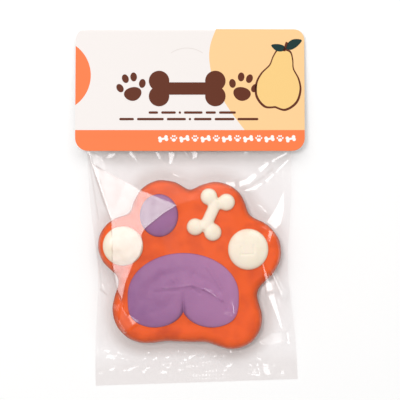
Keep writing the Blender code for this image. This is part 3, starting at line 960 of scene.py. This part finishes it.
def film_wrinkles(share, along, x, y):
    """Fine crumpling of the film: ribbed in the seal, pleated at the mouth, dented on the violet toe."""
    in_seal = np.clip((SEAL_START + SEAL_FADE - along) / SEAL_FADE, 0, 1)
    near_mouth = np.clip(1 - np.abs(along - PLEAT_ALONG) / PLEAT_REACH, 0, 1)
    _, _, (toe_x, toe_y), toe_width, _, _ = TOES[0]
    near_toe = np.exp(-((x - toe_x) ** 2 + (y - toe_y) ** 2) / toe_width ** 2)
    many_lumps = np.vectorize(lumps)
    ribbed = np.clip(SEAL_RIB_SHARE + many_lumps(x, y, SEAL_RIB_PATCH, 6.0), 0, 1)
    ribs = np.sin(2 * math.pi * along / SEAL_RIB_PITCH) * SEAL_RIB_HEIGHT * ribbed
    crumple = many_lumps(x, y, CRUMPLE_SIZE, 4.0)
    pleats = many_lumps(x, y * PLEAT_STRETCH, PLEAT_SIZE, 11.0)
    grid = np.sin(2 * math.pi * along / EMBOSSED_PITCH) + np.sin(2 * math.pi * x / EMBOSSED_PITCH)
    embossed = np.clip(EMBOSSED_FADE - np.abs(share - EMBOSSED_SHARE) / EMBOSSED_REACH, 0, 1)
    ribs += embossed * EMBOSSED_HEIGHT * grid
    total = in_seal * (ribs + SEAL_CRUMPLE_HEIGHT * crumple)
    total += (1 - in_seal) * (CRUMPLE_HEIGHT * crumple + PLEAT_HEIGHT * near_mouth * pleats
                              + TOE_CRUMPLE_HEIGHT * near_toe * crumple)
    return total


def film_haze_and_shade(share, along, x, y):
    """Share of haze and painted shade: painted shade where the film hangs beside the biscuit, a painted
    shadow of the card where it is gathered at the mouth, and haze in the seal and where it is doubled over.
    """
    distance = paw_distance(x, y)
    # Painted shade where the film hangs beside the biscuit
    beside = np.clip(1 - np.abs(distance - BESIDE_SHADE_REACH / 2) / BESIDE_SHADE_REACH, 0, 1)
    from_side = np.clip((1 - np.abs(share)) * BAG_HALF_WIDTH / SIDE_CLEAR, 0, 1)
    haze_and_shade = np.where(distance > 0, beside, 0.0) * from_side * BESIDE_PAINTED_SHADE
    # Painted shadow of the card over the gathered film under its edge
    gathered_and_shadowed = np.clip(1 - (MOUTH_Y - y) / MOUTH_HAZE_SHADOW_REACH, 0, 1)
    gathered_and_shadowed *= np.clip(MOUTH_HAZE_SHADOW_FULL - x / MOUTH_HAZE_SHADOW_SPREAD, 0, 1)
    haze_and_shade = np.maximum(haze_and_shade, gathered_and_shadowed * MOUTH_HAZE_AND_SHADOW)
    haze_and_shade = np.maximum(haze_and_shade, SEAL_HAZE * np.clip((SEAL_HAZE_START - along) / SEAL_HAZE_REACH, 0, 1))
    for start, end, width, amount in HAZY_FOLDS:
        away = np.abs(segment_share(x, y, start, end)[1])
        haze_and_shade = np.maximum(haze_and_shade, amount * np.exp(-(away / width) ** 2))
    return haze_and_shade


def film_veil(x, y):
    """One where the film's broad fold at the left lies, zero elsewhere."""
    within = np.zeros(x.shape, bool)
    for (x0, y0), (x1, y1) in zip(VEIL_OUTLINE, VEIL_OUTLINE[1:] + VEIL_OUTLINE[:1]):
        within ^= ((y0 > y) != (y1 > y)) & (x < x0 + (y - y0) * (x1 - x0) / (y1 - y0))
    return within.astype(float)


def film_edge(y, along, in_card):
    """Height of the film's edge, in the card and outside it."""
    return np.where(in_card, card_middle(np.maximum(y, MOUTH_Y)), edge_height(along))


def film_mesh(name, x, y, heights, material):
    """One film from its grid of places."""
    points = np.stack([x, y, heights], axis=-1).reshape(-1, 3)
    return smooth_mesh(name, points, grid_faces(*x.shape), material, FILM_SHARP_ANGLE)


def build_film_front(material):
    """Front film: taut over the biscuit, folded, flat in the seal and inside the card."""
    share, along, x, y = film_grid(FILM_STEP)
    creases = film_creases()
    tree = creased_film(creases + lit_folds(creased_film(creases)))
    heights = edge_height(along)
    for index in np.ndindex(*x.shape):
        facet_height = height_on(tree, x[index], y[index])
        if facet_height is not None:
            heights[index] = facet_height
    heights = np.maximum(heights, contents_height(x, y))
    in_card = y > MOUTH_Y
    heights[in_card] = card_middle(y)[in_card] + FILM_IN_CARD
    heights = blurred(heights, FILM_STEP, FILM_CREASE_BLUR)
    heights += film_wrinkles(share, along, x, y)
    near_edge = np.clip((1 - np.abs(share)) * BAG_HALF_WIDTH / FILM_EDGE_ROUNDING, 0, 1)
    edge = film_edge(y, along, in_card)
    heights = edge + (heights - edge) * np.sqrt(near_edge)
    front = film_mesh("film_front", x, y, heights, material)
    for name, values in (("haze_and_shade", film_haze_and_shade(share, along, x, y)), ("veil", film_veil(x, y))):
        front.data.attributes.new(name, "FLOAT", "POINT").data.foreach_set("value", values.ravel())
    return front


def build_film_back(material):
    """Back film: flat on the table under the biscuit, rising to the side folds."""
    share, along, x, y = film_grid(FILM_BACK_STEP)
    in_card = along > FILM_BACK_TONGUE
    edge = film_edge(y, along, in_card)
    to_side = (1 - np.abs(share)) * BAG_HALF_WIDTH
    to_end = np.minimum(along + BAG_LENGTH - BAG_SEAL, FILM_BACK_TONGUE - along)
    to_edge = np.maximum(0.0, np.minimum(to_side, to_end))
    to_paw = np.maximum(0.0, paw_distance(x, y))
    rest = to_edge / (to_edge + to_paw + 0.001)
    heights = edge + (FILM_BACK_REST_Z - edge) * rest
    heights = blurred(heights, FILM_BACK_STEP, FILM_BACK_BLUR)
    heights = np.where(to_side < 0.01, edge, heights)
    return film_mesh("film_back", x, y, heights, material)


def faded(tree, value, low, high, first, second):
    """Colour that goes from the first to the second as a value goes from low to high."""
    share = node(tree, "ShaderNodeMapRange", {"From Min": low, "From Max": high}, {"Value": value})
    ends = {"A": first, "B": second}
    codes = {name: colour(end) for name, end in ends.items() if isinstance(end, str)}
    sources = {name: end for name, end in ends.items() if not isinstance(end, str)}
    mixed = node(tree, "ShaderNodeMix", {"data_type": "RGBA", **codes},
                 {"Factor": share.outputs["Result"], **sources})
    return mixed.outputs["Result"]


def pitted(tree, place, size, detail, strength, depth):
    """Normal of a skin with pits of one size and depth in millimetres."""
    pits = node(tree, "ShaderNodeTexNoise", {"Scale": 1 / (size * MM), "Detail": detail},
                {"Vector": place.outputs["Object"]})
    bump = node(tree, "ShaderNodeBump", {"Strength": strength, "Distance": depth * MM},
                {"Height": pits.outputs["Fac"]})
    return bump.outputs["Normal"]


def icing_material(name, code, shade_code, roughness, grain, lip_dough_and_shade=None, pale=None, side=None):
    """Set icing: poured or piped, satin, with slight cloudiness and a fine pitted skin.

    Poured icing darkens towards its lip, partly where thin icing shows the baked dough and partly as painted
    shade.
    Piped icing carries painted shade on its steep sides, and the violet turns paler towards +X. The pits
    are drawn coarser than they are, so that they show.
    """
    material, tree, output = blank_material(name)
    place = node(tree, "ShaderNodeTexCoord")
    clouds = node(tree, "ShaderNodeTexNoise", {"Scale": 1 / (8 * MM), "Detail": 3.0, "Roughness": 0.55},
                  {"Vector": place.outputs["Object"]})
    tint = faded(tree, clouds.outputs["Fac"], 0.42, 0.75, code, shade_code)
    parts = node(tree, "ShaderNodeSeparateXYZ", {}, {"Vector": place.outputs["Object"]})
    if pale:
        tint = faded(tree, parts.outputs["X"], PALE_START_X * MM, PALE_END_X * MM, tint, pale)
    # Painted shade: steep sides of the piped icing fade to the side colour
    if side:
        surface = node(tree, "ShaderNodeNewGeometry")
        up = node(tree, "ShaderNodeSeparateXYZ", {}, {"Vector": surface.outputs["Normal"]})
        tint = faded(tree, up.outputs["Z"], STEEP_SIDE, LEVEL_TOP, side, tint)
    # Darker towards the lip: partly thin icing over the dough, partly painted shade
    if lip_dough_and_shade:
        tint = faded(tree, parts.outputs["Z"], THIN_SHADED_ICING_Z * MM, FULL_ICING_Z * MM, lip_dough_and_shade, tint)
    sheen = node(tree, "ShaderNodeMapRange", {"To Min": roughness - 0.05, "To Max": roughness + 0.08},
                 {"Value": clouds.outputs["Fac"]})
    skin = node(tree, "ShaderNodeBsdfPrincipled", {"IOR": 1.4, "Specular IOR Level": 0.3,
                                                   "Subsurface Weight": 0.08, "Subsurface Scale": 1.0 * MM},
                {"Base Color": tint, "Normal": pitted(tree, place, 0.9, 2.0, grain, 0.1),
                 "Roughness": sheen.outputs["Result"]})
    tree.links.new(skin.outputs["BSDF"], output.inputs["Surface"])
    return material


def dough_material():
    """Baked dough: dry golden crumb, browner in patches, with fine pores."""
    material, tree, output = blank_material("baked_biscuit_dough")
    place = node(tree, "ShaderNodeTexCoord")
    patches = node(tree, "ShaderNodeTexNoise", {"Scale": 1 / (12 * MM), "Detail": 4.0},
                   {"Vector": place.outputs["Object"]})
    tint = node(tree, "ShaderNodeValToRGB", {}, {"Fac": patches.outputs["Fac"]})
    tint.color_ramp.elements[0].color = colour("B98449")
    tint.color_ramp.elements[0].position = 0.35
    tint.color_ramp.elements[1].color = colour("D9B27A")
    tint.color_ramp.elements[1].position = 0.7
    crumb = node(tree, "ShaderNodeBsdfPrincipled", {"Roughness": 0.85},
                 {"Base Color": tint.outputs["Color"], "Normal": pitted(tree, place, 0.7, 4.0, 0.6, 0.3)})
    tree.links.new(crumb.outputs["BSDF"], output.inputs["Surface"])
    return material


def film_material():
    """Clear polypropylene film, cast and glossy: almost invisible but for what it mirrors.

    It carries painted shade where it hangs beside the biscuit and a painted shadow of the card where it is
    gathered at the mouth, greys in the seal and where it is doubled over, and in its broad fold at the left
    passes less light and mirrors a little more.
    """
    material, tree, output = blank_material("cast_clear_polypropylene_film")
    slant = node(tree, "ShaderNodeLayerWeight", {"Blend": 0.5})
    rise = node(tree, "ShaderNodeMath", {"operation": "POWER", 1: 5.0}, {0: slant.outputs["Facing"]})
    mirrored = node(tree, "ShaderNodeMath",
                    {"operation": "MULTIPLY_ADD", 1: 1 - FILM_MIRROR, 2: FILM_MIRROR},
                    {0: rise.outputs["Value"]})
    haze_and_shade = node(tree, "ShaderNodeAttribute", {"attribute_name": "haze_and_shade"})
    # Greyer film where the haze and painted shade lie: painted shade beside the biscuit, painted shadow at
    # the mouth
    hazed_and_shaded = node(tree, "ShaderNodeMix", {"data_type": "RGBA", "A": colour("FEFDFD"), "B": colour("DCD4D1")},
                 {"Factor": haze_and_shade.outputs["Fac"]})
    veil = node(tree, "ShaderNodeAttribute", {"attribute_name": "veil"})
    veiled = node(tree, "ShaderNodeMix", {"data_type": "RGBA", "B": colour("E8E1DF")},
                  {"Factor": veil.outputs["Fac"], "A": hazed_and_shaded.outputs["Result"]})
    doubled = node(tree, "ShaderNodeMath", {"operation": "MULTIPLY_ADD", 1: VEIL_MIRROR},
                   {0: veil.outputs["Fac"], 2: mirrored.outputs["Value"]})
    clear = node(tree, "ShaderNodeBsdfTransparent", {}, {"Color": veiled.outputs["Result"]})
    gloss = node(tree, "ShaderNodeBsdfGlossy", {"Roughness": 0.2, "Color": (1, 1, 1, 1)})
    film = node(tree, "ShaderNodeMixShader", {}, {"Fac": doubled.outputs["Value"]})
    tree.links.new(clear.outputs["BSDF"], film.inputs[1])
    tree.links.new(gloss.outputs["BSDF"], film.inputs[2])
    tree.links.new(film.outputs["Shader"], output.inputs["Surface"])
    return material


def card_material(name, code):
    """Coated card, printed: smooth and faintly shiny, its fibre drawn coarser than it is so that it shows."""
    material, tree, output = blank_material(name)
    place = node(tree, "ShaderNodeTexCoord")
    board = node(tree, "ShaderNodeBsdfPrincipled", {"Base Color": colour(code), "Roughness": 0.45,
                                                    "Specular IOR Level": 0.2},
                 {"Normal": pitted(tree, place, 0.6, 3.0, 0.08, 0.05)})
    tree.links.new(board.outputs["BSDF"], output.inputs["Surface"])
    return material


# Print on the card, in millimetres across and up from the middle of its open end
PRINT_LIFT = 0.04
BAND_HEIGHT = 11.4
PRINT_INSET = 0.02
TAB_MIDDLE = (-1.7, 41.4)
TAB_RADIUS = 15.3
TAB_LINE = 0.35
SPOT_MIDDLE = (-74.4, 41.4)
SPOT_RADIUS = 20.1
PEACH_EDGE = [(14.3, 67.0), (11.2, 58.4), (10.7, 49.1), (13.5, 37.0), (21.0, 23.5), (29.9, 11.4)]

# Brown motif: its bone as (length, knob radius, knob's distance off the axis, half the shaft's width)
MOTIF_BONE = (42.0, 5.6, 4.2, 3.4)
MOTIF_BONE_MIDDLE = (-1.5, 34.2)
MOTIF_PAWS = [((-31.8, 34.0), 12), ((29.0, 34.0), -12)]
MOTIF_PAW_SIZE = 1.45
PAW_PRINT_PAD = (6.6, 5.2)
PAW_PRINT_PAD_UP = -2.0
PAW_PRINT_PAD_SPREAD = 0.16 / 3
PAW_PRINT_TOE = (2.5, 3.4)
PAW_PRINT_TOES = [(-4.3, 1.2, 20), (-1.6, 4.3, 8), (1.6, 4.3, -8), (4.3, 1.2, -20)]

# Rows of brown bars, as (distance up, start, lengths); the shortest ones print as dots
BAR_HEIGHT = 1.3
BAR_GAP = 1.7
DOT_WIDTH = BAR_HEIGHT + 0.01
BAR_ROWS = [
    (21.0, -22.6, [5.2, 8.0, 1.0, 10.2, 5.6, 9.2]),
    (17.4, -38.6, [8.0, 14.6, 10.4, 1.0, 9.6, 10.8, 11.4]),
]

# White marks on the coral band, a bone and a paw print by turns
MARK_COUNT = 13
MARK_START = -14.6
MARK_PITCH = 5.8
MARK_UP = 6.6
MARK_PAW_SIZE = 0.34
MARK_BONE = (5.4, 0.95, 0.7, 0.55)
MARK_BONE_TURN = 12

# Printed pear, round the middle of its belly: right half of its outline from the stem down, and its leaves
PEAR_MIDDLE = (48.4, 35.0)
PEAR_TURN = -9
PEAR_SIDE = [(0.0, 20.6), (3.4, 19.6), (5.2, 15.6), (6.3, 11.0), (9.8, 6.0), (11.6, 0.2), (10.4, -6.6),
             (5.4, -11.2), (0.0, -10.6)]
PEAR_HALF_WIDTH = 11
PEAR_HALF_HEIGHT = 16
PEAR_CENTRE_UP = 5
PEAR_OUTLINE = 1.1
PEAR_STEM = [(-0.7, 20.0), (0.7, 20.0), (1.6, 25.0), (0.2, 25.4)]
PEAR_LEAF = [(0.0, 0.0), (2.2, 2.6), (6.2, 3.4), (10.4, 1.0), (6.6, -1.2), (2.4, -1.6)]
PEAR_LEAF_FOOT = (0.9, 21.4)
# Leaves, as (turn, size)
PEAR_LEAVES = [(24, 0.95), (160, 0.8)]


def on_card(x, up, lift=PRINT_LIFT):
    """Place on the card's front panel."""
    y = MOUTH_Y + up
    return x, y, card_middle(y) + CARD_HALF_THICKNESS + lift


def arc(middle, radius, first, last, steps=24):
    """Places along an arc, angles in degrees."""
    angles = np.radians(np.linspace(first, last, steps))
    return [(middle[0] + radius * math.cos(a), middle[1] + radius * math.sin(a)) for a in angles]


def smooth_line(points, steps=8):
    """Places along a smooth curve through some points."""
    padded = [points[0], *points, points[-1]]
    line = []
    for before, start, end, after in zip(padded, padded[1:], padded[2:], padded[3:]):
        for i in range(steps):
            t = i / steps
            place = []
            for a, b, c, d in zip(before, start, end, after):
                cubic = 3 * b - 3 * c + d - a
                place.append(b + t * (c - a + t * (2 * a - 5 * b + 4 * c - d + t * cubic)) / 2)
            line.append(tuple(place))
    return [*line, points[-1]]


def card_corner(right, at_fold, steps=12):
    """Rounded corner of the card, anticlockwise, a hair inside its edge."""
    radius = CARD_FOLD_CORNER if at_fold else CARD_OPEN_CORNER
    x = CARD_WIDTH / 2 - radius
    up = CARD_DEPTH - radius if at_fold else radius
    start = {(True, False): 270, (True, True): 0, (False, True): 90, (False, False): 180}[right, at_fold]
    return arc((x if right else -x, up), radius - PRINT_INSET, start, start + 90, steps)


def print_field(name, outlines, material, layer=1):
    """Printed shape on the card: filled outlines lying on its front panel, one ink layer over another."""
    mesh = bpy.data.meshes.new(name)
    bm = bmesh.new()
    for outline in outlines:
        places = [on_card(*place, PRINT_LIFT * layer) for place in outline]
        bm.faces.new([bm.verts.new([c * MM for c in place]) for place in places])
    bm.normal_update()
    for face in bm.faces:
        if face.normal.z < 0:
            face.normal_flip()
    bmesh.ops.triangulate(bm, faces=bm.faces, ngon_method="EAR_CLIP")
    bm.to_mesh(mesh)
    bm.free()
    add_piece(name, mesh, material)


def moved(outline, middle, turn=0.0, size=1.0):
    """Outline turned by some degrees, scaled and placed."""
    cos, sin = size * math.cos(math.radians(turn)), size * math.sin(math.radians(turn))
    return [(middle[0] + x * cos - y * sin, middle[1] + x * sin + y * cos) for x, y in outline]


def oval(width, height, steps=28):
    """Oval round the origin."""
    return [(x * width / 2, y * height / 2) for x, y in arc((0, 0), 1, 0, 360 - 360 / steps, steps)]


def bar(width, height):
    """Bar with round ends, round the origin."""
    reach = (width - height) / 2
    return arc((reach, 0), height / 2, -90, 90, 10) + arc((-reach, 0), height / 2, 90, 270, 10)


def bone_outline(length, knob, spread, shaft):
    """Bone round the origin: knobs of one radius, so far from its axis, and half the shaft's width."""
    reach = length / 2 - knob
    neck = math.degrees(math.asin((spread - shaft) / knob))
    cleft = math.degrees(math.asin(spread / knob))
    right = arc((reach, spread), knob, 180 + neck, -cleft, 20)
    lower_right = [(x, -y) for x, y in right[::-1]]
    upper_left = [(-x, y) for x, y in right[::-1]]
    lower_left = [(-x, -y) for x, y in right]
    return right + lower_right[1:] + lower_left + upper_left[1:]


def paw_print(middle, turn=0.0, size=1.0):
    """Outlines of a small paw print: a pad, wider at its top, and four toes."""
    pad = [(x * (1 + PAW_PRINT_PAD_SPREAD * y), y) for x, y in oval(*PAW_PRINT_PAD)]
    shapes = [moved(pad, (0, PAW_PRINT_PAD_UP))]
    for x, y, lean in PAW_PRINT_TOES:
        shapes.append(moved(oval(*PAW_PRINT_TOE, 20), (x, y), lean))
    return [moved(shape, middle, turn, size) for shape in shapes]


def print_fields(coral, peach):
    """Fields of colour: a coral band and spot, and a peach corner."""
    half = CARD_WIDTH / 2 - PRINT_INSET
    band = card_corner(False, False) + card_corner(True, False)
    band += [(half, BAND_HEIGHT), (-half, BAND_HEIGHT)]
    print_field("print_coral_band", [band], coral)
    swing = math.degrees(math.acos((-half - SPOT_MIDDLE[0]) / SPOT_RADIUS))
    print_field("print_coral_spot", [arc(SPOT_MIDDLE, SPOT_RADIUS, -swing, swing, 40)], coral)
    field = smooth_line(PEACH_EDGE) + [(half, BAND_HEIGHT)] + card_corner(True, True)
    print_field("print_peach_field", [field], peach)


def print_motif(brown):
    """Bone between two paw prints."""
    motif = [moved(bone_outline(*MOTIF_BONE), MOTIF_BONE_MIDDLE)]
    for middle, turn in MOTIF_PAWS:
        motif += paw_print(middle, turn, MOTIF_PAW_SIZE)
    print_field("print_brown_motif", motif, brown, 2)


def print_bars(brown):
    """Rows of plain bars and dots under the motif."""
    for row, (up, x, lengths) in enumerate(BAR_ROWS):
        bars = []
        for length in lengths:
            bars.append(moved(bar(max(length, DOT_WIDTH), BAR_HEIGHT), (x + length / 2, up)))
            x += length + BAR_GAP
        print_field(f"print_brown_bars_{row}", bars, brown, 2)


def print_marks(white):
    """White bones and paw prints along the coral band."""
    marks = []
    for i in range(MARK_COUNT):
        middle = (MARK_START + i * MARK_PITCH, MARK_UP)
        if i % 2:
            marks += paw_print(middle, 0, MARK_PAW_SIZE)
        else:
            marks.append(moved(bone_outline(*MARK_BONE), middle, MARK_BONE_TURN))
    print_field("print_white_marks", marks, white, 2)


def print_pear(gold, brown, green):
    """Pear with a brown outline, a stem and two dark leaves."""
    right = smooth_line(PEAR_SIDE)
    pear = right + [(-x, y) for x, y in right[-2:0:-1]]
    wider, taller = 1 + PEAR_OUTLINE / PEAR_HALF_WIDTH, 1 + PEAR_OUTLINE / PEAR_HALF_HEIGHT
    rim = [(x * wider, PEAR_CENTRE_UP + (y - PEAR_CENTRE_UP) * taller) for x, y in pear]
    print_field("print_pear_outline", [moved(rim, PEAR_MIDDLE, PEAR_TURN)], brown, 2)
    print_field("print_pear", [moved(pear, PEAR_MIDDLE, PEAR_TURN)], gold, 3)
    print_field("print_pear_stem", [moved(PEAR_STEM, PEAR_MIDDLE, PEAR_TURN)], brown, 4)
    leaf = smooth_line([*PEAR_LEAF, PEAR_LEAF[0]], 6)[:-1]
    foot = moved([PEAR_LEAF_FOOT], PEAR_MIDDLE, PEAR_TURN)[0]
    leaves = [moved(leaf, foot, turn, size) for turn, size in PEAR_LEAVES]
    print_field("print_pear_leaves", leaves, green, 4)


def build_print():
    """Generic print of the card, and a painted shade line along the crease of its hang tab."""
    brown = card_material("card_printed_brown", "61280C")
    coral = card_material("card_printed_coral", "FC7F48")
    print_fields(coral, card_material("card_printed_peach", "FCCF95"))
    print_motif(brown)
    print_bars(brown)
    print_marks(card_material("card_printed_white", "FFFAF6"))
    gold = card_material("card_printed_gold", "F7CE84")
    print_pear(gold, brown, card_material("card_printed_green", "05302F"))
    # Painted shade: a darker arc where the hang tab is creased
    tab = arc(TAB_MIDDLE, TAB_RADIUS, 55, 125) + arc(TAB_MIDDLE, TAB_RADIUS - TAB_LINE, 125, 55)
    print_field("hang_tab_crease_painted_shade", [tab], card_material("card_crease_painted_shade", "E6DEDA"))


def build_stage():
    """Plain pale floor, soft boxes and the camera straight above."""
    scene = bpy.context.scene
    scene.view_settings.view_transform = "Standard"
    bpy.ops.mesh.primitive_plane_add(size=FLOOR_SIZE, location=(0, 0, -FLOOR_DROP * MM))
    floor = bpy.context.object
    floor.name = "floor"
    material, tree, output = blank_material("white_table")
    top = node(tree, "ShaderNodeBsdfPrincipled", {
        "Base Color": (0.98, 0.98, 0.98, 1), "Roughness": 0.9,
        "Emission Color": (1, 1, 1, 1), "Emission Strength": 0.02})
    tree.links.new(top.outputs["BSDF"], output.inputs["Surface"])
    floor.data.materials.append(material)

    world = bpy.data.worlds.new("studio")
    scene.world = world
    world.use_nodes = True
    world.node_tree.nodes["Background"].inputs["Color"].default_value = (1, 0.99, 0.98, 1)
    world.node_tree.nodes["Background"].inputs["Strength"].default_value = ROOM_LIGHT

    add_soft_box("key", KEY_PLACE, KEY_SIZE, KEY_POWER)
    add_soft_box("back", BACK_PLACE, BACK_SIZE, BACK_POWER)

    camera = bpy.data.objects.new("camera", bpy.data.cameras.new("camera"))
    scene.collection.objects.link(camera)
    camera.data.sensor_width = SENSOR_WIDTH
    camera.data.lens = SENSOR_WIDTH * CAMERA_HEIGHT / VIEW_WIDTH
    camera.location = (VIEW_MIDDLE[0] * MM, VIEW_MIDDLE[1] * MM, CAMERA_HEIGHT * MM)
    scene.camera = camera


def soft_box_place(azimuth, off_zenith, distance):
    """Where a lamp stands, in metres; azimuth 0 is +X and 90 is +Y."""
    turn, tilt = math.radians(azimuth), math.radians(off_zenith)
    towards = Vector((math.sin(tilt) * math.cos(turn), math.sin(tilt) * math.sin(turn), math.cos(tilt)))
    return towards * distance


def add_soft_box(name, place, size, power):
    """Rectangular lamp aimed at the pack."""
    lamp = bpy.data.lights.new(name, "AREA")
    lamp.shape = "RECTANGLE"
    lamp.size, lamp.size_y = size
    lamp.energy = power
    thing = bpy.data.objects.new(name, lamp)
    bpy.context.scene.collection.objects.link(thing)
    thing.location = soft_box_place(*place)
    thing.rotation_euler = thing.location.to_track_quat("Z", "Y").to_euler()


def dress(solid, material):
    """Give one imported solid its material."""
    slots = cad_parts[solid].data.materials
    slots.clear()
    slots.append(material)


def build():
    """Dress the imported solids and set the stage."""
    # The orange's lip colour is partly dough under thin icing and partly painted shade
    orange = icing_material("poured_orange_yoghurt_icing", "F65E08", "DC4C06", 0.5, 0.15, lip_dough_and_shade="9C4012")
    # The violet and white side colours are painted shade on the steep sides of the piped icing
    violet = icing_material("piped_violet_icing", "9E6A9B", "946194", 0.45, 0.2,
                            pale="B27CAA", side="6B3E70")
    white = icing_material("piped_white_icing", "FDF3E0", "F7EAD2", 0.45, 0.2, side="D9BE9A")
    film = film_material()
    dress("biscuit_dough", dough_material())
    dress("header_card", card_material("coated_cream_card", "F2ECE9"))
    build_coat(orange)
    build_pad(violet)
    build_toes({"violet_icing": violet, "white_icing": white})
    build_bone(white)
    front = build_film_front(film)
    build_film_back(film)
    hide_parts("film_bag")
    build_print()
    build_stage()


build()
